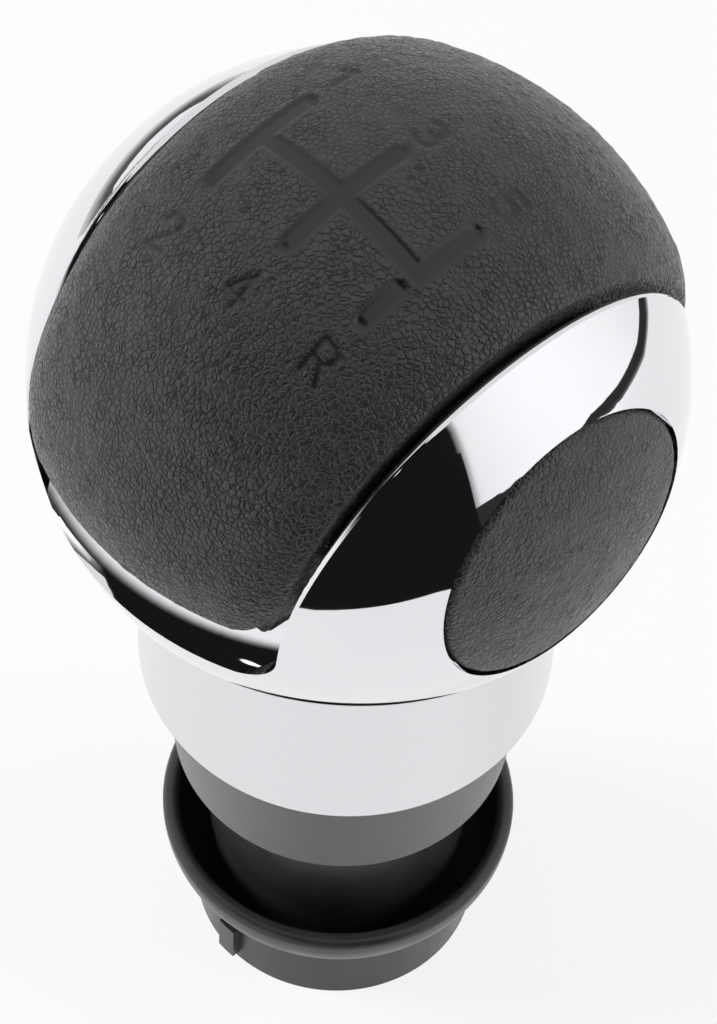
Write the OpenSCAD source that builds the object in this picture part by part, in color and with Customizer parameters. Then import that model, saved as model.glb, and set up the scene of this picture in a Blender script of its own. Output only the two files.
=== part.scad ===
// Gear shift knob: a plated ball with a leather saddle and two leather side grips,
// on a satin collar, a grey neck and a black gaiter cup. The lever goes in from below.
// Millimetres. +Z up the lever, +Y to the front of the car, +X to its right.
// The origin is the centre of the foot.

/* [Ball] */
// Diameter of the plated ball
ball_d = 51.6; // [51.4:0.1:51.8]
// Height of the ball's centre above the foot
ball_h = 75.5; // [74:0.5:78]
// Wall of the plated cage
cage_wall = 2.4; // [2:0.1:2.8]
// Height of the cage's lower edge, counted down from the ball's centre
seam_drop = 10.7; // [10.7:0.1:11.2]
// Radius of the rounded lip along the leather
lip_round = 0.6; // [0.4:0.1:0.8]
// Gap between the leather's edge and the plated lip
saddle_gap = 0.25; // [0.15:0.05:0.4]

/* [Leather saddle] */
// Radius of the leather dome, a little proud of the ball
saddle_r = 26.4; // [26.3:0.1:26.6]
// Distance of each side edge's plane from the ball's centre
saddle_side = 14.05; // [13.6:0.05:14.4]
// Lean of the side edges: the saddle is wider at its top
saddle_lean = 4.9; // [3:0.1:7]
// Height of the tongues' lower edge above the ball's centre
tongue_z = 0.7; // [0.5:0.1:1.2]
// Corner radius of the tongues
tongue_corner = 2.8; // [2:0.1:3.4]
// Rounding of the leather's shoulders along its side edges
saddle_round = 2.0; // [1.6:0.1:2.2]
// Rounding of the leather's edge at the ends of the tongues
tongue_round = 1.0; // [0.8:0.1:1.2]
// How far the tongues' ends dip towards the ball
tongue_dip = 0.4; // [0.2:0.1:0.5]
// Thickness of the leather
leather_t = 1.0; // [0.8:0.1:1.2]
// Thickness of the foam under the leather
foam_t = 1.0; // [0.8:0.1:1.2]
// Thickness of the moulded saddle carrier
carrier_t = 2.9; // [2.8:0.1:3]

/* [Shift pattern] */
// Width of the pressed lines
line_w = 1.6; // [1.2:0.1:2]
// Depth of the pressed lines
line_depth = 0.3; // [0.2:0.05:0.4]
// Distance between neighbouring gates
gate_pitch = 8.7; // [8:0.1:9.2]
// Length of a gate on either side of the neutral line
gate_len = 4.9; // [4:0.1:5.4]
// Distance of the neutral line behind the ball's centre
neutral_back = 2.3; // [1.5:0.1:3]

/* [Side grips] */
// Radius of the round pockets that hold the grips
pocket_r = 12.3; // [12:0.05:12.3]
// Gap between a grip's leather and its pocket
grip_gap = 0.24; // [0.15:0.03:0.3]
// Upward tilt of the grips' axis
grip_tilt = 5.3; // [5.3:0.1:6]
// Distance of a grip's crown from the ball's centre
grip_top = 24.6; // [24.2:0.1:25]
// Radius of the grip's shallow dome
grip_dome_r = 42; // [36:1:50]
// Distance of the pocket's floor from the ball's centre
pocket_floor = 20.4; // [20.2:0.1:20.6]

/* [Front and rear scoops] */
// Radius of the concave scoop under each tongue
scoop_r = 6; // [5.8:0.1:6.2]
// Distance of the scoop's centre line from the lever axis
scoop_path_r = 27.64; // [27.5:0.02:27.8]
// Depth of the scoop's centre line below the ball's centre
scoop_drop = 0.76; // [0.6:0.02:0.9]
// Lowest edge of the scoop below the ball's centre
scoop_bottom = 6.3; // [6.2:0.05:6.6]
// Corner radius of the scoop's outline
scoop_corner = 4.4; // [3.6:0.1:4.4]

/* [Collar and neck] */
// Outer radius of the satin collar's lower edge
collar_r = 17.15; // [17.05:0.05:17.4]
// Height of the collar's lower edge above the foot
collar_foot = 37.9; // [37:0.1:38.6]
// Radius of the neck where it leaves the collar
neck_top_r = 16.1; // [16:0.05:16.2]
// Radius of the neck's lower edge
neck_foot_r = 14.2; // [13.8:0.1:14.6]
// Height of the neck's lower edge above the foot
neck_foot = 24.6; // [24:0.1:25.2]
// Wall of the collar and of the neck
sleeve_wall = 1.6; // [1.4:0.1:1.8]

/* [Gaiter cup] */
// Outer radius of the foot
foot_r = 12.1; // [11.9:0.1:12.4]
// Outer radius of the cup's lip
cup_r = 15.1; // [14.8:0.1:15.4]
// Height of the lip above the foot
cup_h = 13.1; // [12.8:0.1:13.4]
// Radius of the rolled lip
lip_bead = 0.75; // [0.6:0.05:0.9]
// Wall of the cup and the foot
cup_wall = 1.4; // [1.2:0.1:1.5]
// Radius of the tube that the gaiter is tied round
groove_r = 11; // [10.8:0.1:11.2]

/* [Lever socket] */
// Radius of the lever that goes in from below
lever_r = 6.1; // [5.9:0.05:6.2]
// Wall of the steel sleeve
insert_wall = 1.3; // [1.2:0.05:1.4]
// Wall of the rubber damper round it
damper_wall = 0.8; // [0.7:0.05:0.9]
// Outer radius of the core's stem
stem_r = 9.5; // [9.5:0.1:9.7]
// Height of the socket's mouth above the foot
socket_mouth = 1.0; // [0.5:0.1:1.5]
// Height of the socket's end above the foot
socket_end = 50; // [48:0.5:52]
// Height of the retaining clip above the foot
clip_h = 42; // [40:0.5:44]

/* [Hidden] */
$fn = 96;

ball_r = ball_d / 2;
reach = 40;                                     // larger than any part of the ball
past = 3;                                       // how far a cutter stands out past the ball
foam_r = saddle_r - leather_t;                  // outside of the foam
carrier_r = foam_r - foam_t;                    // outside of the saddle carrier
bridge_r = carrier_r - carrier_t;               // outside of the cage's bridge
bridge_t = 1.8;
inner_side = saddle_side - leather_t;           // side planes of the carrier and the foam
inner_tongue_z = tongue_z + leather_t;
dip_h = 5;                                      // height over which the tongues' ends dip
middle_front = 0.6;                             // what the longer gates add to the gate length
middle_rear = 1;
fifth_front = 2;
reverse_from = [0.2, 2.4];                      // ends of the reverse gate, from the fifth gate
reverse_to = [0.8, 1.3];
cheek_side = saddle_side + saddle_gap;          // side planes of the plated cheeks
side_wall = 1.7;
edge_ease = 0.02;
lip_fade = 1.8;                                 // extra lean of the lip's cutter
lip_match_z = 20;                               // height at which it meets the cheek's plane
lip_side = (cheek_side + lip_match_z * sin(saddle_lean)) / cos(saddle_lean)
    * cos(saddle_lean + lip_fade) - lip_match_z * sin(saddle_lean + lip_fade);
belt_in = 19.4;                                 // inside of the plated belt
belt_top = tongue_z - saddle_gap;
cup_floor_t = 1.5;
pocket_rim = 1.5;
grip_r = pocket_r - grip_gap;
grip_leather_t = 0.9;
grip_foam_t = 0.8;
grip_round = 0.9;                               // rounded edge of the grips' leather
pad_round = 0.3;                                // and of what is under it
recess_r = grip_r - 3;
post_r = 1.5;
post_ring = 7;
post_head_r = 2.3;
post_head_h = 1.1;
post_h = 4;

boss_x = 8.2;                                   // places of the four cage screws
boss_y = 8.4;
boss_r = 3;
boss_top = 12.4;
pad_r = 3.4;
head_seat = 13.9;
head_r = 2.7;
head_h = 1.7;
shank_r = 1.4;
shank_foot = 5;
screw_gap = 0.3;                                // clearance round the screws in the cage
slot_len = 3;                                   // cross slot in the screws' heads
slot_w = 0.7;
slot_deep = 0.9;

leg_ring = 10.1;                                // inner faces of the carrier's snap legs
leg_t = 1.8;
leg_w = 5;
leg_top = bridge_r - 0.5;                       // inside the carrier
hook_t = 0.8;                                   // the hooks catch under the cage's bridge
hook_r = leg_ring + leg_t + hook_t;
hook_top = sqrt(pow(bridge_r - bridge_t, 2) - pow(hook_r, 2) - pow(leg_w / 2, 2));
hook_h = 1.8;
slot_gap = 0.1;

flange_r = 18.9;                                // the core's flange closes the ball
flange_t = 2;
core_top = 3;                                   // above the ball's centre
core_web = 5;                                   // over the socket's end
core_bore_r = 6.5;
weight_r = 16.8;
weight_h = 6.3;
gasket_t = 0.5;
gasket_in = 20.8;
gasket_r = 22.2;
bowl_r = 25.2;                                  // the collar's bowl follows the ball
rim_z = ball_h - seam_drop - gasket_t;
throat = ball_h - sqrt(pow(bowl_r, 2) - pow(collar_r + 0.4, 2));
seat_r = 15.9;                                  // seat of the neck in the collar
seat_foot = collar_foot + 3;
seat_top = seat_foot + 8.6;
neck_gap = 0.3;                                 // dark joint between the collar and the neck
neck_floor_t = 1.8;
neck_edge = 0.3;

ring_seat = 3.1;                                // the circlip's groove in the core
ring_h = 1;
cup_floor = ring_seat + ring_h;
foot_top = 7.6;                                 // the cup swells out of the foot below this
swell = 6;                                      // radius of the cup's rounded side
lug_w = 1.8;                                    // key at the rear of the foot
lug_h = 4;
lug_foot = 1;
lug_out = 0.8;
ring_gap = 5;
ring_depth = 0.6;
insert_r = lever_r + insert_wall;
damper_r = insert_r + damper_wall;
wire_r = 0.5;
wire_ring = lever_r + 0.2;                      // the wire stands 0.3 into the bore
wire_opening = 4;

// Places

module at_ball() translate([0, 0, ball_h]) children();

module both_sides() {
    children();
    mirror([1, 0, 0]) children();
}

module front_and_rear() {
    children();
    mirror([0, 1, 0]) children();
}

module four_corners() front_and_rear() both_sides() children();

// Its Z axis is square to the right-hand side edge of the saddle
module saddle_axis() rotate([0, 90 + saddle_lean, 0]) children();

// Its Z axis is the axis of the right-hand grip
module grip_axis() rotate([0, 90 - grip_tilt, 0]) children();

module ring(r_out, r_in, h) difference() {
    cylinder(r = r_out, h = h);
    translate([0, 0, -1]) cylinder(r = r_in, h = h + 2);
}

// Rounded edges. Each cutter is a turned ring that takes off the corner between a ball
// and a plane across it. It is set a hair outwards, so that it crosses both faces cleanly.

// For the part of the ball below the plane
module edge_below(r, plane, round_r) {
    reach_in = r - round_r + edge_ease;
    corner = [sqrt(pow(reach_in, 2) - pow(plane - round_r + edge_ease, 2)),
              plane - round_r + edge_ease];
    beyond = corner * (r + past) / reach_in;
    rotate_extrude() difference() {
        polygon([corner, [corner[0], plane + past], [r + past, plane + past], beyond]);
        translate(corner) circle(round_r);
    }
}

// For the cap of the ball above the plane
module edge_above(r, plane, round_r) {
    reach_in = r - round_r + edge_ease;
    corner = [sqrt(pow(reach_in, 2) - pow(plane + round_r - edge_ease, 2)),
              plane + round_r - edge_ease];
    beyond = corner * (r + past) / reach_in;
    rotate_extrude() difference() {
        polygon([corner, [corner[0], plane - 1], [r + past, plane - 1], [r + past, beyond[1]],
                 beyond]);
        translate(corner) circle(round_r);
    }
}

// A disc with a shallow domed top and a rounded edge
module domed_disc(r, foot, top, dome_r, round_r) {
    centre = top - dome_r;
    corner = [r - round_r, centre + sqrt(pow(dome_r - round_r, 2) - pow(r - round_r, 2))];
    slope = [corner[0], corner[1] - centre] / (dome_r - round_r);
    beyond = corner + slope * 2 * past;
    outside = [corner, [r + past, corner[1]], [r + past, beyond[1]], beyond];
    rotate_extrude() union() {
        difference() {
            intersection() {
                translate([0, centre]) circle(dome_r, $fn = 192);
                translate([0, foot]) square([r, reach]);
            }
            polygon(outside);
        }
        intersection() {
            translate(corner) circle(round_r);
            polygon(outside);
        }
    }
}

// Leather saddle

// Front outline between the two leaning side planes, with round lower corners
module saddle_outline(side, foot, corner) {
    lean = tan(saddle_lean);
    cz = foot + corner;
    cx = ((side - corner) + cz * sin(saddle_lean)) / cos(saddle_lean);
    tangent = [cx + corner * cos(saddle_lean), cz - corner * sin(saddle_lean)];
    top = [tangent[0] + (reach - tangent[1]) * lean, reach];
    for (s = [-1, 1]) translate([s * cx, cz]) circle(corner);
    polygon([[-cx, foot], [cx, foot], [cx, cz], tangent, top, [-top[0], reach],
             [-tangent[0], tangent[1]], [-cx, cz]]);
}

module along_y() rotate([90, 0, 0]) translate([0, 0, -reach]) linear_extrude(2 * reach) children();

// Takes the dip and the rounded edge off the tongues' ends
module tongue_end_cutter() {
    edge = [sqrt(pow(saddle_r, 2) - pow(tongue_z, 2)) - tongue_dip, tongue_z + tongue_round];
    dip_end = [sqrt(pow(saddle_r, 2) - pow(tongue_z + dip_h, 2)), tongue_z + dip_h];
    beyond = edge + 2.5 * (dip_end - edge);
    rotate_extrude() polygon([[edge[0] - tongue_round, tongue_z - 1], edge, beyond,
                              [reach, beyond[1]], [reach, tongue_z - 1]]);
}

// Solid saddle out of a ball, with its side and lower edges rounded
module saddle_blank() difference() {
    intersection() {
        sphere(saddle_r);
        along_y() saddle_outline(saddle_side, tongue_z, tongue_corner);
    }
    both_sides() saddle_axis() edge_below(saddle_r, saddle_side, saddle_round);
    tongue_end_cutter();
}

module inner_blank(r) intersection() {
    sphere(r);
    along_y() saddle_outline(inner_side, inner_tongue_z, tongue_corner - leather_t);
}

module groove(from, to) {
    run = to - from;
    translate(from) circle(d = line_w);
    translate(to) circle(d = line_w);
    translate(from) rotate(atan2(run[1], run[0])) translate([0, -line_w / 2])
        square([norm(run), line_w]);
}

// Five forward gates in an H, and a short separate gate for reverse
module shift_pattern() {
    y = -neutral_back;
    groove([-gate_pitch, y], [gate_pitch, y]);
    groove([-gate_pitch, y - gate_len], [-gate_pitch, y + gate_len]);
    groove([0, y - gate_len - middle_rear], [0, y + gate_len + middle_front]);
    groove([gate_pitch, y], [gate_pitch, y + gate_len + fifth_front]);
    groove([gate_pitch - reverse_from[0], y - reverse_from[1]],
           [gate_pitch - reverse_to[0], y - gate_len - reverse_to[1]]);
}

module pressed_lines() difference() {
    translate([0, 0, 20]) linear_extrude(10) shift_pattern();
    sphere(saddle_r - line_depth);
}

module top_leather() color("#1d1d1f") at_ball() difference() {
    difference() {
        saddle_blank();
        pressed_lines();
    }
    inner_blank(foam_r);
    sphere(bridge_r);
}

module top_foam() color("#4a4a4c") at_ball() difference() {
    inner_blank(foam_r);
    sphere(carrier_r);
}

// A leg with a barbed hook, drawn from its foot up into the carrier
module snap_leg() rotate([90, 0, 0]) translate([0, 0, -leg_w / 2]) linear_extrude(leg_w)
    polygon([[leg_ring, hook_top - hook_h], [leg_ring + leg_t / 2, hook_top - hook_h],
             [hook_r, hook_top - hook_h / 2], [hook_r, hook_top], [leg_ring + leg_t, hook_top],
             [leg_ring + leg_t, leg_top], [leg_ring, leg_top]]);

module top_carrier() color("#2b2b2d") at_ball() {
    difference() {
        inner_blank(carrier_r);
        sphere(bridge_r);
    }
    for (a = [0:90:270]) rotate(a) snap_leg();
}

// Plated cage

// The space between the planes of the two cheeks
module between_cheeks() intersection() {
    saddle_axis() translate([0, 0, -reach]) cylinder(r = 2 * reach, h = reach + cheek_side);
    mirror([1, 0, 0]) saddle_axis() translate([0, 0, -reach])
        cylinder(r = 2 * reach, h = reach + cheek_side);
}

module layer(low, high) translate([-reach, -reach, low]) cube([2 * reach, 2 * reach, high - low]);

// The round cup that holds a grip
module grip_cup() grip_axis() translate([0, 0, pocket_floor - cup_floor_t])
    cylinder(r = pocket_r + pocket_rim, h = reach);

// The hollow between the cheeks, which leaves a bridge under the saddle and four screw pads,
// and the hollow of each cheek behind its wall
module cage_hollow() difference() {
    union() {
        sphere(bridge_r - bridge_t);
        translate([0, 0, -reach]) cylinder(r = belt_in, h = reach);
        both_sides() saddle_axis() rotate_extrude() intersection() {
            circle(ball_r - cage_wall);
            translate([0, cheek_side + side_wall]) square([reach, reach]);
        }
    }
    both_sides() grip_cup();
    four_corners() translate([boss_x, boss_y, boss_top]) cylinder(r = pad_r, h = reach);
}

// The rounded lip of a cheek fades out towards the scoops
module lip_cutter() intersection() {
    rotate([0, 90 + saddle_lean + lip_fade, 0]) edge_above(ball_r, lip_side, lip_round);
    layer(-scoop_bottom + scoop_corner, reach);
}

module scoop_cutter() intersection() {
    rotate_extrude() translate([scoop_path_r, -scoop_drop]) circle(scoop_r);
    along_y() saddle_outline(cheek_side, -scoop_bottom, scoop_corner);
    layer(-reach, belt_top + 0.1);
}

// Hollow ball, open below, with the lips of its cheeks rounded
module cage_blank() difference() {
    sphere(ball_r);
    layer(-reach, -seam_drop);
    cage_hollow();
    both_sides() lip_cutter();
}

module chrome_cage() color("#d8d9dc") at_ball() difference() {
    cage_blank();
    difference() {
        intersection() {
            between_cheeks();
            layer(belt_top, reach);
        }
        sphere(bridge_r);
    }
    scoop_cutter();
    both_sides() grip_axis() {
        translate([0, 0, pocket_floor]) cylinder(r = pocket_r, h = reach);
        for (a = [0:120:240]) rotate(a) translate([post_ring, 0, 0])
            cylinder(r = post_r, h = reach);
    }
    four_corners() translate([boss_x, boss_y, 0]) {
        translate([0, 0, head_seat]) cylinder(r = head_r + screw_gap, h = reach);
        cylinder(r = shank_r + screw_gap, h = reach);
    }
    for (a = [0:90:270]) rotate(a)
        translate([leg_ring - hook_t, -leg_w / 2 - slot_gap, boss_top])
            cube([hook_t + leg_t + slot_gap, leg_w + 2 * slot_gap, reach]);
}

// Side grips, drawn on the right and mirrored to the left

module grip_leather() grip_axis() difference() {
    domed_disc(grip_r, pocket_floor, grip_top, grip_dome_r, grip_round);
    domed_disc(grip_r - grip_leather_t, pocket_floor - 1, grip_top - grip_leather_t,
               grip_dome_r - grip_leather_t, pad_round);
}

module grip_foam() grip_axis() difference() {
    domed_disc(grip_r - grip_leather_t, pocket_floor + 0.5, grip_top - grip_leather_t,
               grip_dome_r - grip_leather_t, pad_round);
    domed_disc(grip_r - grip_leather_t, pocket_floor - 1, grip_top - grip_leather_t - grip_foam_t,
               grip_dome_r - grip_leather_t - grip_foam_t, pad_round);
}

module grip_carrier() grip_axis() {
    difference() {
        domed_disc(grip_r - grip_leather_t, pocket_floor,
                   grip_top - grip_leather_t - grip_foam_t,
                   grip_dome_r - grip_leather_t - grip_foam_t, pad_round);
        translate([0, 0, pocket_floor - 1]) cylinder(r = recess_r, h = 2);
    }
    for (a = [0:120:240]) rotate(a)
        translate([post_ring, 0, pocket_floor - cup_floor_t - post_head_h]) {
            cylinder(r = post_head_r, h = post_head_h);
            cylinder(r = post_r, h = post_h);
        }
}

module right_grip_leather() color("#1d1d1f") at_ball() grip_leather();
module right_grip_foam() color("#4a4a4c") at_ball() grip_foam();
module right_grip_carrier() color("#2b2b2d") at_ball() grip_carrier();
module left_grip_leather() color("#1d1d1f") at_ball() mirror([1, 0, 0]) grip_leather();
module left_grip_foam() color("#4a4a4c") at_ball() mirror([1, 0, 0]) grip_foam();
module left_grip_carrier() color("#2b2b2d") at_ball() mirror([1, 0, 0]) grip_carrier();

// Core and what it carries

module cage_screws() color("#8e9093") at_ball() four_corners() translate([boss_x, boss_y, 0]) {
    difference() {
        translate([0, 0, head_seat]) cylinder(r = head_r, h = head_h);
        for (a = [0, 90]) rotate(a)
            translate([-slot_len / 2, -slot_w / 2, head_seat + head_h - slot_deep])
                cube([slot_len, slot_w, slot_deep + 1]);
    }
    translate([0, 0, shank_foot]) cylinder(r = shank_r, h = head_seat - shank_foot);
}

module knob_core() color("#232325") difference() {
    union() {
        translate([0, 0, socket_mouth]) cylinder(r = stem_r, h = ball_h + core_top - socket_mouth);
        at_ball() translate([0, 0, -seam_drop]) cylinder(r = flange_r, h = flange_t);
        at_ball() four_corners() translate([boss_x, boss_y, -seam_drop])
            cylinder(r = boss_r, h = boss_top + seam_drop);
    }
    translate([0, 0, -1]) cylinder(r = damper_r, h = socket_end + damper_wall + 1);
    translate([0, 0, socket_end + core_web]) cylinder(r = core_bore_r, h = reach);
    translate([0, 0, ring_seat]) ring(stem_r + 1, stem_r - ring_depth, ring_h);
    at_ball() four_corners() translate([boss_x, boss_y, shank_foot])
        cylinder(r = shank_r, h = reach);
}

module ballast_weight() color("#77797c") at_ball() translate([0, 0, -seam_drop + flange_t])
    difference() {
        ring(weight_r, stem_r, weight_h);
        four_corners() translate([boss_x, boss_y, -1]) cylinder(r = boss_r, h = weight_h + 2);
    }

module seam_gasket() color("#151516") at_ball() translate([0, 0, -seam_drop - gasket_t])
    ring(gasket_r, gasket_in, gasket_t);

// Collar, neck and gaiter cup: turned profiles, radius by height above the foot

// Satin collar: a tube that opens into a bowl under the ball
module silver_collar() color("#c9cacd") difference() {
    union() {
        translate([0, 0, collar_foot]) cylinder(r = collar_r, h = throat + 2 - collar_foot);
        intersection() {
            at_ball() sphere(bowl_r);
            translate([0, 0, throat]) cylinder(r = bowl_r, h = rim_z - throat);
        }
    }
    translate([0, 0, collar_foot - 1])
        cylinder(r = neck_top_r + neck_gap, h = seat_foot - collar_foot + 1);
    translate([0, 0, collar_foot]) cylinder(r = seat_r, h = reach);
    intersection() {
        at_ball() sphere(bowl_r - sleeve_wall);
        translate([0, 0, throat + 1]) cylinder(r = bowl_r, h = reach);
    }
}

// Grey neck: a tapered sleeve with a seat in the collar and a floor on the gaiter cup
module neck_sleeve() color("#56585b") rotate_extrude() polygon([
    [seat_r, seat_top], [seat_r, seat_foot], [neck_top_r, seat_foot],
    [neck_foot_r, neck_foot + neck_edge], [neck_foot_r - neck_edge, neck_foot], [stem_r, neck_foot],
    [stem_r, neck_foot + neck_floor_t], [neck_foot_r - sleeve_wall, neck_foot + neck_floor_t],
    [neck_top_r - sleeve_wall - 0.4, seat_foot], [seat_r - sleeve_wall, seat_top]]);

// Black gaiter cup: foot, cup with a rolled lip, and the tube the gaiter is tied round
module cup_side() {
    translate([cup_r - swell, cup_h - lip_bead]) difference() {
        circle(swell);
        circle(swell - cup_wall);
        translate([-reach, 0]) square(2 * reach);
        translate([-reach, -reach]) square([reach, 2 * reach]);
    }
    translate([cup_r - lip_bead, cup_h - lip_bead]) circle(lip_bead);
}

module gaiter_collar() color("#1b1b1d") {
    difference() {
        union() {
            cylinder(r = foot_r, h = foot_top);
            rotate_extrude() cup_side();
            cylinder(r = groove_r, h = neck_foot);
        }
        translate([0, 0, -1]) cylinder(r = foot_r - cup_wall, h = cup_floor + 1);
        translate([0, 0, -1]) cylinder(r = stem_r, h = neck_foot + 2);
    }
    intersection() {
        translate([-lug_w / 2, -foot_r - lug_out, lug_foot]) cube([lug_w, lug_out + 1, lug_h]);
        cylinder(r = foot_r + lug_out, h = lug_foot + lug_h + 1);
    }
}

module retaining_ring() color("#9a9c9f") translate([0, 0, ring_seat]) difference() {
    ring(foot_r - cup_wall - 0.3, stem_r - ring_depth, ring_h);
    translate([-ring_gap / 2, 5, -1]) cube([ring_gap, 10, 6]);
}

module damper_sleeve() color("#2f2f31") difference() {
    translate([0, 0, socket_mouth])
        cylinder(r = damper_r, h = socket_end + damper_wall - socket_mouth);
    translate([0, 0, socket_mouth - 1]) cylinder(r = insert_r, h = socket_end - socket_mouth + 1);
}

module lever_insert() color("#a8aaad") difference() {
    translate([0, 0, socket_mouth]) ring(insert_r, lever_r, socket_end - socket_mouth);
    translate([0, 0, clip_h - wire_r]) cylinder(r = wire_ring + wire_r, h = 2 * wire_r);
}

module lever_clip() color("#b4b6b9") translate([0, 0, clip_h]) difference() {
    rotate_extrude() translate([wire_ring, 0]) circle(wire_r);
    translate([-wire_opening / 2, 0, -2]) cube([wire_opening, 10, 4]);
}

top_leather();
top_foam();
top_carrier();
chrome_cage();
right_grip_leather();
right_grip_foam();
right_grip_carrier();
left_grip_leather();
left_grip_foam();
left_grip_carrier();
cage_screws();
knob_core();
ballast_weight();
seam_gasket();
silver_collar();
neck_sleeve();
gaiter_collar();
retaining_ring();
damper_sleeve();
lever_insert();
lever_clip();
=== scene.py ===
import math

import bpy
import numpy as np
from mathutils import Matrix, Vector, noise


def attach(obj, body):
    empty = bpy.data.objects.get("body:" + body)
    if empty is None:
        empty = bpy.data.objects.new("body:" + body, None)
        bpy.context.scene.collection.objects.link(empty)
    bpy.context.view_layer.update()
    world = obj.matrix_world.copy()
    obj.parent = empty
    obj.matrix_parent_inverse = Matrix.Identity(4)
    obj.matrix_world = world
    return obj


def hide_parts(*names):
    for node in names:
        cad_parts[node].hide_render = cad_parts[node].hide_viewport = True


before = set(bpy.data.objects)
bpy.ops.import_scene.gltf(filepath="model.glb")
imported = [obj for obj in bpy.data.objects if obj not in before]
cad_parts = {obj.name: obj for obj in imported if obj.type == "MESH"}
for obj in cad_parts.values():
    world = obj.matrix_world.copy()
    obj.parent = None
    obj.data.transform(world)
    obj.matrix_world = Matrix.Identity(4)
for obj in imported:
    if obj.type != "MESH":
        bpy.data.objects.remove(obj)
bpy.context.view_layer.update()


# LEVER SOCKET
# A turned steel sleeve takes the lever, and a sprung wire clip drops into the lever's
# groove. A rubber damper round the sleeve keeps gearbox buzz out of the knob. All hidden
# but for the sleeve's mouth, seen from below.

def linear(hex_colour):
    """An sRGB hex value as linear red, green, blue and full alpha."""
    shares = [int(hex_colour[i:i + 2], 16) / 255 for i in (1, 3, 5)]
    return [s / 12.92 if s <= 0.04045 else ((s + 0.055) / 1.055) ** 2.4 for s in shares] + [1.0]


def add_node(tree, kind, inputs=None, **settings):
    """Adds a shader node. A socket given as an input is linked, any other value is set."""
    node = tree.nodes.new(kind)
    for key, value in settings.items():
        setattr(node, key, value)
    for key, value in (inputs or {}).items():
        if isinstance(value, bpy.types.NodeSocket):
            tree.links.new(value, node.inputs[key])
        else:
            node.inputs[key].default_value = value
    return node


def start_finish(name, metallic=0.0, ior=None):
    """A material with one shader, and the place on the object in metres for its pattern."""
    finish = bpy.data.materials.new(name)
    finish.use_nodes = True
    tree = finish.node_tree
    shader = tree.nodes["Principled BSDF"]
    shader.inputs["Metallic"].default_value = metallic
    if ior:
        shader.inputs["IOR"].default_value = ior
    place = add_node(tree, "ShaderNodeTexCoord").outputs["Object"]
    return finish, tree, shader, place


def cloudy(tree, shader, place, colours, roughness, grain_mm, relief_mm, detail=3.0):
    """Drives a shader's colour, roughness and relief from one noise of the given grain."""
    speck = add_node(tree, "ShaderNodeTexNoise",
                     {"Vector": place, "Scale": 1000 / grain_mm, "Detail": detail}).outputs["Fac"]
    blend = add_node(tree, "ShaderNodeMix", {"Factor": speck, "A": linear(colours[0]),
                                             "B": linear(colours[1])}, data_type="RGBA")
    sheen = add_node(tree, "ShaderNodeMapRange", {"Value": speck, "From Min": 0.3, "From Max": 0.7,
                                                  "To Min": roughness[0], "To Max": roughness[1]})
    bump = add_node(tree, "ShaderNodeBump", {"Height": speck, "Distance": relief_mm / 1000})
    tree.links.new(blend.outputs["Result"], shader.inputs["Base Color"])
    tree.links.new(sheen.outputs["Result"], shader.inputs["Roughness"])
    tree.links.new(bump.outputs["Normal"], shader.inputs["Normal"])


def dress(finish, *names):
    """Gives a finish to CAD nodes."""
    for name in names:
        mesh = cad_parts[name].data
        mesh.materials.clear()
        mesh.materials.append(finish)


# Turned steel: fine rings from the lathe tool, 0.4 mm apart here so that they show
ring_step = 0.4
turned_steel, tree, shader, place = start_finish("turned_steel", metallic=1.0)
cloudy(tree, shader, place, ("#8c8e91", "#a2a4a7"), (0.26, 0.38), 1.5, 0.01)
rings = add_node(tree, "ShaderNodeTexWave", {"Vector": place, "Scale": 1000 / ring_step / 6.283,
                                             "Distortion": 0.6}, bands_direction="Z")
ring_bump = add_node(tree, "ShaderNodeBump", {"Height": rings.outputs["Fac"], "Distance": 0.00002})
tree.links.new(ring_bump.outputs["Normal"], shader.inputs["Normal"])
dress(turned_steel, "lever_insert")

# Spring steel wire and strip: drawn bright, with a faint cloudiness from the drawing soap
spring_steel, tree, shader, place = start_finish("drawn_spring_steel", metallic=1.0)
cloudy(tree, shader, place, ("#96989b", "#b4b6b9"), (0.22, 0.32), 0.6, 0.006)
dress(spring_steel, "lever_clip")

# Moulded rubber: dull, faintly bloomed
damper_rubber, tree, shader, place = start_finish("moulded_rubber", ior=1.52)
cloudy(tree, shader, place, ("#1d1d1d", "#2a2a2a"), (0.62, 0.8), 0.8, 0.02)
dress(damper_rubber, "damper_sleeve")


# CORE, BALLAST AND CIRCLIP
# The core is one moulding in black glass-filled nylon, and everything screws or snaps to
# it. A die-cast zinc ring in the ball gives the knob its weight, and a circlip under the
# foot holds the gaiter cup on the core's stem.

# Glass-filled nylon: a dry surface with pale fibre streaks just under the skin
glass_nylon, tree, shader, place = start_finish("moulded_glass_nylon", ior=1.53)
cloudy(tree, shader, place, ("#151516", "#232325"), (0.45, 0.62), 0.5, 0.015)
dress(glass_nylon, "knob_core")

# Die-cast zinc: grey, a little mottled where the melt chilled
cast_zinc, tree, shader, place = start_finish("die_cast_zinc", metallic=1.0)
cloudy(tree, shader, place, ("#6b6d70", "#8b8d90"), (0.42, 0.6), 2.2, 0.03)
dress(cast_zinc, "ballast_weight")

dress(spring_steel, "retaining_ring")


# GAITER CUP
# One black polypropylene moulding: the foot, the cup with its rolled lip, and the tube that
# the gaiter's hem is tied round. It slides on to the core's stem, up to the circlip.

# Polypropylene from a polished tool: deep black, with a soft gloss and the slow waviness that
# the cooling plastic leaves
black_moulding, tree, shader, place = start_finish("polished_black_polypropylene", ior=1.49)
cloudy(tree, shader, place, ("#29292a", "#323233"), (0.28, 0.38), 3.0, 0.02)
dress(black_moulding, "gaiter_collar")


# NECK
# A tapered sleeve in dark grey polypropylene, moulded in a two-part tool with a fine
# spark-eroded texture. It seats in the collar above and stands on the gaiter tube below.

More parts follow.
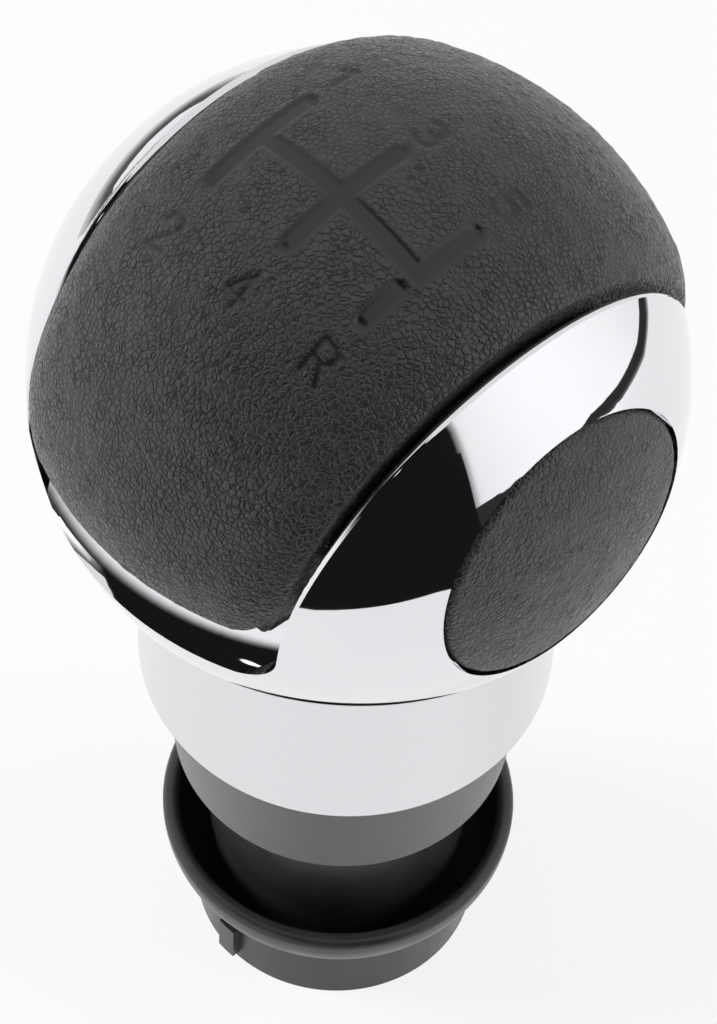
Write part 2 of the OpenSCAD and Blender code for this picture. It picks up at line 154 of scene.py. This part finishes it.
# Spark-eroded texture: satin, with 0.12 mm pits drawn at 0.2 mm so that they show
grey_moulding, tree, shader, place = start_finish("spark_textured_grey_polypropylene", ior=1.49)
cloudy(tree, shader, place, ("#4d4e4f", "#58595b"), (0.34, 0.42), 0.2, 0.006, detail=1.0)
dress(grey_moulding, "neck_sleeve")


# SATIN COLLAR
# A silver ring under the ball, plated ABS with a satin finish from vapour blasting. The neck
# seats in it from below, and a thin black gasket closes its joint with the ball.

# Satin plating: bright, with soft reflections and no direction
satin_silver, tree, shader, place = start_finish("satin_silver_plating", metallic=1.0)
cloudy(tree, shader, place, ("#dedfe2", "#e6e7e9"), (0.20, 0.26), 0.35, 0.001)
dress(satin_silver, "silver_collar")

# Gasket rubber: matt black
gasket_rubber, tree, shader, place = start_finish("moulded_gasket_rubber", ior=1.52)
cloudy(tree, shader, place, ("#0f0f0f", "#171717"), (0.65, 0.8), 0.6, 0.01)
dress(gasket_rubber, "seam_gasket")


# PLATED CAGE
# The ball's shell: ABS, moulded in one piece and plated with copper, nickel and chrome.
# Four screws hold it down on the core's bosses, and the saddle and grips snap into it.

# Bright chrome over polished ABS: a mirror with a faint cool tint, and a slow waviness of a
# few microns that softens straight reflections a little
bright_chrome, tree, shader, place = start_finish("bright_chrome_plating", metallic=1.0)
cloudy(tree, shader, place, ("#e4e5e8", "#e9eaec"), (0.02, 0.04), 6.0, 0.002, detail=1.0)
dress(bright_chrome, "chrome_cage")

# Zinc-plated steel: pale grey with a slight yellow cast, hidden under the saddle
zinc_plated, tree, shader, place = start_finish("zinc_plated_steel", metallic=1.0)
cloudy(tree, shader, place, ("#a5a59f", "#bdbdb8"), (0.28, 0.4), 0.5, 0.005)
dress(zinc_plated, "cage_screws")


# SIDE GRIPS
# Two round pads, one in each cheek. Black leather is wrapped over foam on an ABS carrier,
# whose three posts are heat-formed behind the pocket's floor.

# Carrier ABS, as moulded: hidden, dull black
plain_abs, tree, shader, place = start_finish("moulded_abs", ior=1.54)
cloudy(tree, shader, place, ("#1b1b1c", "#262628"), (0.4, 0.55), 0.7, 0.01)
dress(plain_abs, "right_grip_carrier", "left_grip_carrier")

# Open-cell polyurethane foam: grey, pitted in 0.5 mm cells
pad_foam, tree, shader, place = start_finish("cut_polyurethane_foam", ior=1.5)
cloudy(tree, shader, place, ("#3b3b3d", "#555557"), (0.85, 1.0), 0.5, 0.2)
dress(pad_foam, "right_grip_foam", "left_grip_foam")

MM = 0.001
ball_centre = np.array([0.0, 0.0, 75.5])


def unit(vectors):
    """The vectors at length 1."""
    return vectors / np.linalg.norm(vectors, axis=-1, keepdims=True)


# The same lumps on every run
noise.seed_set(7)


def lumps(points, cell, depth, seed):
    """Height in mm of the soft lumps and dents that the hide keeps over its foam. A cell is
    the size of one lump, and the seed gives each skin lumps of its own."""
    # The cells wander a little, and a slow swell about three cells long runs under them
    heights = np.empty(len(points))
    for i, (x, y, z) in enumerate(points):
        spot = Vector((x + seed, y, z)) / cell
        spot += 0.3 * noise.noise_vector(spot * 0.8)
        near, next_near = noise.voronoi(spot)[0][:2]
        crease = min(1.0, (math.sqrt(next_near) - math.sqrt(near)) / 0.5)
        heights[i] = crease * crease * (3 - 2 * crease) + 0.5 * noise.noise(spot * 0.35)
    return depth * (heights - 1)


def round_corner(u, v, share=1.0):
    """Moves a unit square's grid so that its outer sides lie on a quarter circle, or with a
    smaller share on a blunter corner."""
    return u * np.sqrt(1 - share * v * v / 2), v * np.sqrt(1 - share * u * u / 2)


def wrap_leather(name, finish, grid, outwards, inward, relief, roll, depth, thickness, turns):
    """A leather skin: a grid on its crown, rolled over at the edge, taken down the side,
    turned under by its thickness, and closed inside by a coarser grid. The relief gives the
    height and the share of the grain that is left at each point."""
    # Where the grid pinches together at a corner, its normal leans to the outward direction
    crowns = np.cross(np.gradient(grid, axis=0), np.gradient(grid, axis=1))
    crowns *= np.sign(np.sum(crowns * outwards, -1, keepdims=True))
    size = np.linalg.norm(crowns, axis=-1, keepdims=True)
    crowns = unit(crowns / (size + 0.3 * np.median(size)) + 0.1 * outwards)
    rows, columns = grid.shape[:2]
    index = np.arange(rows * columns).reshape(rows, columns)
    loop = np.concatenate([index[0, :-1], index[:-1, -1], index[-1, :0:-1], index[:0:-1, 0]])
    flat = grid.reshape(-1, 3)
    up = crowns.reshape(-1, 3)
    edge, edge_up = flat[loop], up[loop]
    along = unit(np.roll(edge, -1, 0) - np.roll(edge, 1, 0))
    outward = unit(np.cross(along, edge_up))
    if np.sum(outward * (edge - flat.mean(0))) < 0:
        outward = -outward
    down = inward.reshape(-1, 3)[loop]
    turn = np.arccos(np.clip(np.sum(outward * down, 1), -1, 1))[:, None]
    rings, normals = [], []
    point = edge.copy()
    for k in range(turns):
        share = (k + 0.5) / turns
        heading = unit((np.sin((1 - share) * turn) * outward + np.sin(share * turn) * down))
        point = point + heading * roll * turn / turns
        share = (k + 1) / turns
        heading = unit((np.sin((1 - share) * turn) * outward + np.sin(share * turn) * down))
        normal = np.cross(heading, along)
        normal *= np.sign(np.sum(normal * (outward + edge_up), 1))[:, None]
        rings.append(point)
        normals.append(unit(normal))
    # The side goes straight down in two steps
    side = normals[-1]
    for drop in (0.4, 1.0):
        rings.append(rings[turns - 1] + down * depth * drop)
        normals.append(side)
    outer = np.concatenate([flat] + rings)
    lift = np.concatenate([up] + normals)
    # The relief moves all but the hem's edge
    height, grain_left = relief(outer)
    fade = np.ones(len(outer))
    fade[-len(loop):] = 0
    outer = outer + lift * (height * fade)[:, None]
    # The hem turns under, and the inside is a quarter as fine as the crown
    hem = rings[-1] - side * thickness
    coarse = index[::4, ::4]
    inside = flat[coarse] - up[coarse] * thickness
    top_wall = edge - edge_up * thickness
    points = np.concatenate([outer, hem, top_wall, inside.reshape(-1, 3)])
    n_loop = len(loop)
    faces = []
    quads = np.stack([index[:-1, :-1], index[:-1, 1:], index[1:, 1:], index[1:, :-1]], -1)
    faces += quads.reshape(-1, 4).tolist()
    chains = [loop] + [len(flat) + k * n_loop + np.arange(n_loop) for k in range(len(rings) + 2)]
    for upper, lower in zip(chains[:-1], chains[1:]):
        band = np.stack([upper, lower, np.roll(lower, -1), np.roll(upper, -1)], 1)
        faces += band.tolist()
    base = len(outer) + 2 * n_loop
    small = base + np.arange(coarse.size).reshape(coarse.shape)
    quads = np.stack([small[:-1, :-1], small[1:, :-1], small[1:, 1:], small[:-1, 1:]], -1)
    faces += quads.reshape(-1, 4).tolist()
    small_loop = np.concatenate([small[0, :-1], small[:-1, -1], small[-1, :0:-1], small[:0:-1, 0]])
    wall = chains[-1]
    for k in range(len(small_loop)):
        five = [wall[(4 * k + j) % n_loop] for j in range(5)]
        faces.append(five[::-1] + [small_loop[k], small_loop[(k + 1) % len(small_loop)]])
    mesh = bpy.data.meshes.new(name)
    mesh.from_pydata((points * MM).tolist(), [], [[int(i) for i in face] for face in faces])
    grain = mesh.attributes.new("grain", "FLOAT", "POINT")
    shares = np.zeros(len(points))
    shares[:len(outer)] = grain_left
    grain.data.foreach_set("value", shares)
    mesh.shade_smooth()
    mesh.validate()
    mesh.materials.append(finish)
    piece = bpy.data.objects.new(name, mesh)
    bpy.context.scene.collection.objects.link(piece)
    return piece


# Black leather: chrome-tanned, embossed with a fine irregular pebble grain and top-coated.
# The cells, half a millimetre across, catch a soft grey sheen that grows towards grazing
# angles, and the creases between them are rougher and carry painted shade, coloured near
# black. Where the pattern is hot-pressed, the grain is ironed flat.
# Sizes and depths in mm. The pores of the real hide, 0.1 mm, are drawn at 0.16 mm to show.
grain_cell = 0.5
crease_depth = 0.08
warp_size, warp_reach = 0.7, 0.5
patch_size, tint_size = 2.5, 4
pore_size, pore_depth = 0.16, 0.01
grained_leather, tree, shader, place = start_finish("embossed_black_leather", ior=1.5)
left = add_node(tree, "ShaderNodeAttribute", attribute_name="grain").outputs["Fac"]
drift = add_node(tree, "ShaderNodeTexNoise", {"Vector": place, "Scale": 1000 / warp_size,
                                              "Detail": 3.0})
drift = add_node(tree, "ShaderNodeVectorMath", {0: drift.outputs["Color"], 1: (0.5, 0.5, 0.5)},
                 operation="SUBTRACT")
drift = add_node(tree, "ShaderNodeVectorMath", {0: drift.outputs["Vector"],
                                                    "Scale": warp_reach / 1000},
                 operation="SCALE")
spot = add_node(tree, "ShaderNodeVectorMath", {0: place, 1: drift.outputs["Vector"]})
cells = add_node(tree, "ShaderNodeTexVoronoi", {"Vector": spot.outputs["Vector"],
                                                "Scale": 1000 / grain_cell},
                 feature="DISTANCE_TO_EDGE")
crown = add_node(tree, "ShaderNodeMapRange", {"Value": cells.outputs["Distance"], "From Max": 0.24},
                 interpolation_type="SMOOTHSTEP")
groove = add_node(tree, "ShaderNodeMapRange", {"Value": cells.outputs["Distance"],
                                               "From Max": 0.12, "To Min": 1.0, "To Max": 0.0},
                  interpolation_type="SMOOTHSTEP")
# The grain is deeper in some patches than in others
patch = add_node(tree, "ShaderNodeTexNoise", {"Vector": place, "Scale": 1000 / patch_size,
                                              "Detail": 2.0})
patch = add_node(tree, "ShaderNodeMapRange", {"Value": patch.outputs["Fac"], "From Min": 0.35,
                                              "From Max": 0.6, "To Min": 0.6})
grain = add_node(tree, "ShaderNodeMath", {0: patch.outputs["Result"], 1: left},
                 operation="MULTIPLY").outputs[0]
groove = add_node(tree, "ShaderNodeMath", {0: groove.outputs["Result"], 1: grain},
                  operation="MULTIPLY").outputs[0]
height = add_node(tree, "ShaderNodeMath", {0: crown.outputs["Result"], 1: grain},
                  operation="MULTIPLY")
tint = add_node(tree, "ShaderNodeTexNoise", {"Vector": place, "Scale": 1000 / tint_size,
                                             "Detail": 3.0})
crown_colour = add_node(tree, "ShaderNodeMix", {"Factor": tint.outputs["Fac"],
                                                "A": linear("#2c2c2e"), "B": linear("#383839")},
                        data_type="RGBA")
# Ironed flat by the hot press, the leather is darker
crown_colour = add_node(tree, "ShaderNodeMix", {"Factor": left, "A": linear("#1a1a1c"),
                                                "B": crown_colour.outputs["Result"]},
                        data_type="RGBA")
# Painted shade: the creases between the cells are coloured near black
skin_with_painted_crease_shade = add_node(tree, "ShaderNodeMix", {"Factor": groove, "A": crown_colour.outputs["Result"],
                                        "B": linear("#09090a")}, data_type="RGBA")
sheen = add_node(tree, "ShaderNodeMapRange", {"Value": groove, "To Min": 0.31, "To Max": 0.62})
grain_bump = add_node(tree, "ShaderNodeBump", {"Height": height.outputs[0],
                                               "Distance": crease_depth / 1000})
pores = add_node(tree, "ShaderNodeTexNoise", {"Vector": place, "Scale": 1000 / pore_size,
                                              "Detail": 2.0})
pore_bump = add_node(tree, "ShaderNodeBump", {"Height": pores.outputs["Fac"], "Strength": 0.5,
                                              "Distance": pore_depth / 1000,
                                              "Normal": grain_bump.outputs["Normal"]})
tree.links.new(skin_with_painted_crease_shade.outputs["Result"], shader.inputs["Base Color"])
tree.links.new(sheen.outputs["Result"], shader.inputs["Roughness"])
tree.links.new(pore_bump.outputs["Normal"], shader.inputs["Normal"])
shader.inputs["Sheen Weight"].default_value = 0.05
shader.inputs["Sheen Roughness"].default_value = 0.4

# Sizes in mm: the pad's radius, its crown's distance from the ball's centre, the radius of
# its dome, the pocket's floor, and the radius that the leather is rolled over at the edge
grip_r = 12.06
grip_crown = 24.6
grip_dome = 42.0
grip_tilt = math.radians(5.3)
grip_floor = 20.45
grip_roll = 0.9
grip_thickness = 0.85
grip_lump, grip_lump_depth = 1.3, 0.05
grip_grain = 0.8
grip_cells = 200
edge_turns = 6


def grip_relief(seed):
    """The relief of one grip: lumps of its own, under grain a little softer than the saddle's."""
    return lambda points: (lumps(points, grip_lump, grip_lump_depth, seed), grip_grain)


for side, sign in (("right", 1), ("left", -1)):
    axis = np.array([sign * math.cos(grip_tilt), 0, math.sin(grip_tilt)])
    across = np.array([0, 1.0, 0])
    upright = np.cross(axis, across)
    u, v = np.meshgrid(*[np.linspace(-1, 1, grip_cells + 1)] * 2, indexing="ij")
    u, v = round_corner(u, v)
    inset = grip_r - grip_roll * (1 - grip_r / grip_dome)
    dome_centre = axis * (grip_crown - grip_dome)
    height = np.sqrt(grip_dome ** 2 - inset ** 2 * (u ** 2 + v ** 2))
    rise = (axis * height[..., None] + inset * (u[..., None] * across + v[..., None] * upright))
    disc = ball_centre + dome_centre + rise
    edge_height = grip_crown - grip_dome + math.sqrt(grip_dome ** 2 - grip_r ** 2) - grip_roll
    grip = wrap_leather(side + "_grip_skin", grained_leather, disc, rise / grip_dome,
                        np.broadcast_to(-axis, disc.shape),
                        grip_relief(40 + 9 * sign), grip_roll, edge_height - grip_floor,
                        grip_thickness, edge_turns)
    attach(grip, "root")
    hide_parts(side + "_grip_leather")


# SADDLE
# A band of the same leather over the top of the ball, wrapped round foam on an ABS carrier
# that snaps into the cage. The shift pattern is hot-pressed into it: lines, a small dimple
# at the end of each gate, and plain digits.

dress(plain_abs, "top_carrier")
dress(pad_foam, "top_foam")

# The band is a little fuller at its sides than the ball, by saddle_full at 12 mm across,
# and slopes down to the chrome near its edges: by so much, over such a width
saddle_r = 26.4
saddle_full, full_at = 0.2, 12
shoulder, shoulder_w = 0.65, 3.6
dip, dip_w = 0.45, 5.5
# Half the band's width, its sides' lean, the height of the tongues' ends above the ball's
# centre, and the radius of their corners
saddle_side = 14.05
saddle_lean = math.radians(4.9)
tongue_z = 0.7
tongue_corner = 2.3
corner_share = 0.85
saddle_roll = 0.6
saddle_depth = 2.4
saddle_thickness = 0.9
saddle_lump, saddle_lump_depth = 1.5, 0.06
saddle_cells = (172, 440)

line_w = 1.5
line_depth = 0.25
# Gates as from and to, in mm to the right of and in front of the ball's centre
pressed_lines = [((-8.5, -2.9), (8.6, -2.9)), ((-8.5, -7.7), (-8.5, 1.9)),
                 ((0.3, -8.1), (0.3, 3.0)), ((8.6, -2.9), (8.6, 2.7)), ((8.5, -4.9), (8.4, -8.0))]
gate_ends = [(-8.1, -8.4), (-8.5, 2.3), (0.2, -8.8), (0.3, 3.7), (8.6, 3.2), (8.5, -4.4),
             (8.4, -8.6)]
ironed_margin = 0.25
dimple_r = 0.45
dimple_depth = 0.12
digit_w = 0.5
digit_depth = 0.24
digit_h = 2.65
# Strokes of each digit in a box 0.7 wide and 1 high
digits = {
    "1": [[(0.12, 0.78), (0.4, 1), (0.4, 0)]],
    "2": [[(0.03, 0.76), (0.14, 0.95), (0.35, 1), (0.58, 0.92), (0.65, 0.72), (0.55, 0.5),
           (0, 0), (0.68, 0)]],
    "3": [[(0.03, 0.9), (0.3, 1), (0.6, 0.9), (0.62, 0.66), (0.42, 0.53), (0.25, 0.52)],
          [(0.42, 0.53), (0.66, 0.38), (0.66, 0.12), (0.35, 0), (0.03, 0.1)]],
    "4": [[(0.5, 0), (0.5, 1), (0, 0.3), (0.7, 0.3)]],
    "5": [[(0.62, 1), (0.1, 1), (0.06, 0.55), (0.36, 0.62), (0.64, 0.5), (0.67, 0.2),
           (0.4, 0), (0.03, 0.08)]],
    "R": [[(0.05, 0), (0.05, 1), (0.45, 1), (0.64, 0.88), (0.64, 0.64), (0.45, 0.5), (0.05, 0.5)],
          [(0.35, 0.5), (0.66, 0)]],
}
digit_places = {"1": (-8.8, 5.7), "2": (-8.3, -12.4), "3": (0.2, 6.3), "4": (-0.1, -12.6),
                "5": (8.0, 6.8), "R": (8.1, -12.2)}


def distance_to(places, start, end):
    """Distance in mm of each place from the stroke between two points."""
    start, end = np.array(start, float), np.array(end, float)
    run = end - start
    share = np.clip(((places - start) @ run) / max(run @ run, 1e-9), 0, 1)
    return np.linalg.norm(places - start - share[:, None] * run, axis=1)


def soft_step(distance, edge, ease):
    """1 inside the edge and 0 outside it, over a rounded shoulder."""
    share = np.clip((edge + ease / 2 - distance) / ease, 0, 1)
    return share * share * (3 - 2 * share)


def pressed_relief(points):
    """Height of the saddle's lumps and hot-pressed marks in mm, and the grain left there."""
    hide = lumps(points, saddle_lump, saddle_lump_depth, 7)
    local = points - ball_centre
    places = local[:, :2]
    top = local[:, 2] > 15
    to_line = np.min([distance_to(places, *line) for line in pressed_lines], 0)
    to_end = np.min([distance_to(places, end, end) for end in gate_ends], 0)
    to_digit = np.full(len(points), 9.0)
    for digit, strokes in digits.items():
        corner = np.array(digit_places[digit]) - np.array([0.35, 0.5]) * digit_h
        for stroke in strokes:
            spots = [corner + np.array(p) * digit_h for p in stroke]
            for start, end in zip(spots[:-1], spots[1:]):
                to_digit = np.minimum(to_digit, distance_to(places, start, end))
    line = soft_step(to_line, line_w / 2, 0.5) * top
    digit = soft_step(to_digit, digit_w / 2, 0.35) * top
    dimple = soft_step(to_end, dimple_r, 0.3) * top
    smooth = np.clip(soft_step(to_line, line_w / 2 + ironed_margin, 0.6) * top + digit, 0, 1)
    pressed = line * line_depth + dimple * dimple_depth + digit * digit_depth
    return hide * (1 - smooth) - pressed, 1 - smooth


s_side = (saddle_side - saddle_roll) / (1 - saddle_roll / saddle_r) / saddle_side
s, t = np.meshgrid(np.linspace(-1, 1, saddle_cells[0] + 1),
                   np.linspace(-1, 1, saddle_cells[1] + 1), indexing="ij")
plane = s * s_side * saddle_side
angle = np.arcsin(np.sin(saddle_lean) * s)
rho = np.sqrt(saddle_r ** 2 - plane ** 2)
end_cos = (tongue_z + plane * np.sin(angle)) / (rho * np.cos(angle))
end_arc = np.arccos(end_cos) * rho - saddle_roll
arc = t * end_arc
# The four corners of the grid are rounded, the rest of it stays square
from_side = np.clip((np.abs(plane) - (saddle_side * s_side - tongue_corner)) / tongue_corner, 0, 1)
from_end = np.clip((np.abs(arc) - (end_arc - tongue_corner)) / tongue_corner, 0, 1)
round_side, round_end = round_corner(from_side, from_end, corner_share)
plane = np.sign(plane) * (np.abs(plane) - (from_side - round_side) * tongue_corner)
arc = np.sign(arc) * (np.abs(arc) - (from_end - round_end) * tongue_corner)
angle = np.arcsin(np.clip(plane / saddle_side, -1, 1) * np.sin(saddle_lean))
rho = np.sqrt(saddle_r ** 2 - plane ** 2)
theta = arc / rho
plane_normal = np.stack([np.cos(angle), 0 * angle, -np.sin(angle)], -1)
plane_up = np.stack([np.sin(angle), 0 * angle, np.cos(angle)], -1)
spoke = plane_up * np.cos(theta)[..., None] + np.array([0, 1.0, 0]) * np.sin(theta)[..., None]
shell = plane_normal * plane[..., None] + spoke * rho[..., None]
from_side = np.clip(1 - (saddle_side * s_side - np.abs(plane)) / shoulder_w, 0, 1)
from_end = np.clip(1 - (end_arc - np.abs(arc)) / dip_w, 0, 1)
height = saddle_r + saddle_full * (plane / full_at) ** 2
height -= shoulder * from_side ** 2 + dip * from_end ** 2
shell = shell * (height / saddle_r)[..., None]
saddle = wrap_leather("saddle_skin", grained_leather, ball_centre + shell, unit(shell), -spoke,
                      pressed_relief, saddle_roll, saddle_depth, saddle_thickness, edge_turns)
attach(saddle, "root")
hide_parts("top_leather")


# STUDIO
# A white paper floor, a tall softbox to the right, another to the left, and between them the
# dark room behind the camera. The chrome shows all of it. The cards show in reflections only.

paper, tree, shader, place = start_finish("white_paper")
shader.inputs["Base Color"].default_value = linear("#f4f4f4")
shader.inputs["Roughness"].default_value = 0.9
rays = add_node(tree, "ShaderNodeLightPath").outputs
seen = add_node(tree, "ShaderNodeMath", {0: rays["Is Camera Ray"], 1: rays["Is Glossy Ray"]},
                operation="MAXIMUM")
seen = add_node(tree, "ShaderNodeMath", {0: seen.outputs[0], 1: rays["Is Transmission Ray"]},
                operation="MAXIMUM")
# What is left of the paper's own shading keeps the object's shadow
kept = add_node(tree, "ShaderNodeMath", {0: seen.outputs[0], 1: 0.85}, operation="MULTIPLY")
glow = add_node(tree, "ShaderNodeEmission", {"Color": linear("#ffffff"), "Strength": 1.0})
sheet = add_node(tree, "ShaderNodeMixShader", {0: kept.outputs[0], 1: shader.outputs["BSDF"],
                                               2: glow.outputs["Emission"]})
tree.links.new(sheet.outputs["Shader"], tree.nodes["Material Output"].inputs["Surface"])

floor_mesh = bpy.data.meshes.new("floor")
half = 4
floor_mesh.from_pydata([(-half, -half, 0), (half, -half, 0), (half, half, 0), (-half, half, 0)], [],
                       [(0, 1, 2, 3)])
floor_mesh.materials.append(paper)
floor = bpy.data.objects.new("floor", floor_mesh)
bpy.context.scene.collection.objects.link(floor)


def card(name, radius, azimuths, lows, highs, tone):
    """A curved sheet round the knob's axis that shows in reflections only. Its lower and upper
    edges run through evenly spaced heights, and tone gives its brightness by the share of the
    width and of the height."""
    wide, tall = 48, 16
    points, levels = [], []
    for j in range(tall + 1):
        for i in range(wide + 1):
            across, upward = i / wide, j / tall
            turn = math.radians(azimuths[0] + (azimuths[1] - azimuths[0]) * across)
            low = np.interp(across, np.linspace(0, 1, len(lows)), lows)
            high = np.interp(across, np.linspace(0, 1, len(highs)), highs)
            points.append((radius * math.cos(turn), radius * math.sin(turn),
                           low + (high - low) * upward))
            levels.append(tone(across, upward))
    faces = [(k, k + 1, k + wide + 2, k + wide + 1)
             for k in range(tall * (wide + 1)) if k % (wide + 1) < wide]
    mesh = bpy.data.meshes.new(name)
    mesh.from_pydata(points, [], faces)
    mesh.attributes.new("level", "FLOAT", "POINT").data.foreach_set("value", levels)
    mesh.materials.append(card_light)
    sheet = bpy.data.objects.new(name, mesh)
    sheet.visible_camera = False
    sheet.visible_diffuse = False
    sheet.visible_shadow = False
    bpy.context.scene.collection.objects.link(sheet)


def ease(share):
    """0 to 1 with soft ends, for the edges of the cards' light."""
    share = min(1.0, max(0.0, share))
    return share * share * (3 - 2 * share)


card_light = bpy.data.materials.new("lit_cloth")
card_light.use_nodes = True
card_light.node_tree.nodes.clear()
level = add_node(card_light.node_tree, "ShaderNodeAttribute", attribute_name="level")
light = add_node(card_light.node_tree, "ShaderNodeEmission", {"Color": linear("#ffffff"),
                                                              "Strength": level.outputs["Fac"]})
add_node(card_light.node_tree, "ShaderNodeOutputMaterial", {"Surface": light.outputs["Emission"]})

# The softbox on the right is brightest in its middle, and its left edge is soft
card("softbox_right", 0.50, (-9, 80), (0.005, 0.005), (0.60, 0.60),
     lambda u, v: ease(u / 0.05) * (0.98 + 0.22 * math.sin(math.pi * min(1, u * 1.1))))
# The gap under it, over the far edge of the table
card("gap_right", 0.20, (-10, 76), (0.044, 0.082, 0.095, 0.084, 0.053, 0.033, 0.027),
     (0.090, 0.101, 0.101, 0.090, 0.067, 0.050, 0.046),
     lambda u, v: 0.03 + 0.4 * (1 - ease(v / 0.3)) * ease((u - 0.5) / 0.5))
# The softbox on the left, and the bright end of the table in front of it
card("softbox_left", 0.50, (-180, -128), (0.0, 0.0), (0.62, 0.50),
     lambda u, v: 1.3 * ease((1 - u) / 0.3) * ease((1 - v) / 0.15) + 0.02)
card("table_end", 0.32, (-180, -62), (0.001, 0.001), (0.34, 0.20),
     lambda u, v: 0.02 + 1.0 * ease((1 - v) / 0.45))
card("gap_left", 0.20, (140, 184), (0.0, 0.0), (0.027, 0.030),
     lambda u, v: 0.1 + 0.6 * (1 - ease(v / 0.8)))
# The dark room behind the camera, the table's dark front edge, and one small lamp up there
card("dark_room", 0.60, (-130, -8), (0.0, 0.0), (1.35, 1.35), lambda u, v: 0.009)
card("table_front", 0.14, (-60, -9), (0.001, 0.03), (0.14, 0.14), lambda u, v: 0.009)
card("room_lamp", 0.50, (-81, -74), (0.58, 0.58), (0.68, 0.68),
     lambda u, v: 3.0 * ease(1.3 - 2.2 * math.hypot(u - 0.5, v - 0.5)))


def lamp(name, energy, size, place, aim):
    """A soft lamp that gives light and leaves the reflections to the cards."""
    light = bpy.data.lights.new(name, "AREA")
    light.energy = energy
    light.shape = "DISK"
    light.size = size
    holder = bpy.data.objects.new(name, light)
    holder.location = place
    holder.rotation_euler = (Vector(aim) - Vector(place)).to_track_quat("-Z", "Y").to_euler()
    holder.visible_glossy = False
    bpy.context.scene.collection.objects.link(holder)


middle = (0, 0, 0.06)
lamp("lamp_right", 2.3, 0.4, (0.44, 0.42, 0.24), middle)
lamp("lamp_left", 4.8, 0.3, (-0.44, -0.38, 0.36), middle)
lamp("lamp_top", 0.9, 0.5, (-0.05, 0.2, 0.8), middle)

world = bpy.data.worlds.new("studio")
world.use_nodes = True
tree = world.node_tree
tree.nodes.clear()
rays = add_node(tree, "ShaderNodeLightPath").outputs
seen = add_node(tree, "ShaderNodeMath", {0: rays["Is Camera Ray"], 1: rays["Is Transmission Ray"]},
                operation="MAXIMUM")
room = add_node(tree, "ShaderNodeMix", {"Factor": rays["Is Glossy Ray"], "A": linear("#5c5c5c"),
                                        "B": linear("#f0f0f0")}, data_type="RGBA")
wall = add_node(tree, "ShaderNodeMix", {"Factor": seen.outputs[0], "A": room.outputs["Result"],
                                        "B": linear("#ffffff")}, data_type="RGBA")
backdrop = add_node(tree, "ShaderNodeBackground", {"Color": wall.outputs["Result"],
                                                   "Strength": 1.0})
add_node(tree, "ShaderNodeOutputWorld", {"Surface": backdrop.outputs["Background"]})
bpy.context.scene.world = world

# The camera looks down from the right rear. The ball's centre sits above the middle of the
# picture, so the camera is pitched down from it. The pitch is from the centre's rise in a
# picture 1024 high, and the focal length in the same measure.
centre_rise, focal_length = 135.8, 5999
camera_distance = 0.4643
camera_direction = Vector((0.4066, -0.4066, 0.8181)).normalized()
camera_roll = math.radians(2.76)
camera_pitch = math.atan2(centre_rise, focal_length)
centre = Vector(ball_centre) * MM
level_right = Vector((1, 1, 0)).normalized()
level_up = camera_direction.cross(level_right)
right = level_right * math.cos(camera_roll) + level_up * math.sin(camera_roll)
up = level_up * math.cos(camera_roll) - level_right * math.sin(camera_roll)
back = camera_direction * math.cos(camera_pitch) + up * math.sin(camera_pitch)
up = up * math.cos(camera_pitch) - camera_direction * math.sin(camera_pitch)
camera_data = bpy.data.cameras.new("camera")
camera_data.sensor_width = 36
camera_data.lens = 210.9
camera_data.clip_start = 0.01
camera = bpy.data.objects.new("camera", camera_data)
spin = Matrix((right, up, back)).transposed().to_4x4()
camera.matrix_world = Matrix.Translation(centre + camera_direction * camera_distance) @ spin
bpy.context.scene.collection.objects.link(camera)
bpy.context.scene.camera = camera
bpy.context.scene.view_settings.view_transform = "Standard"
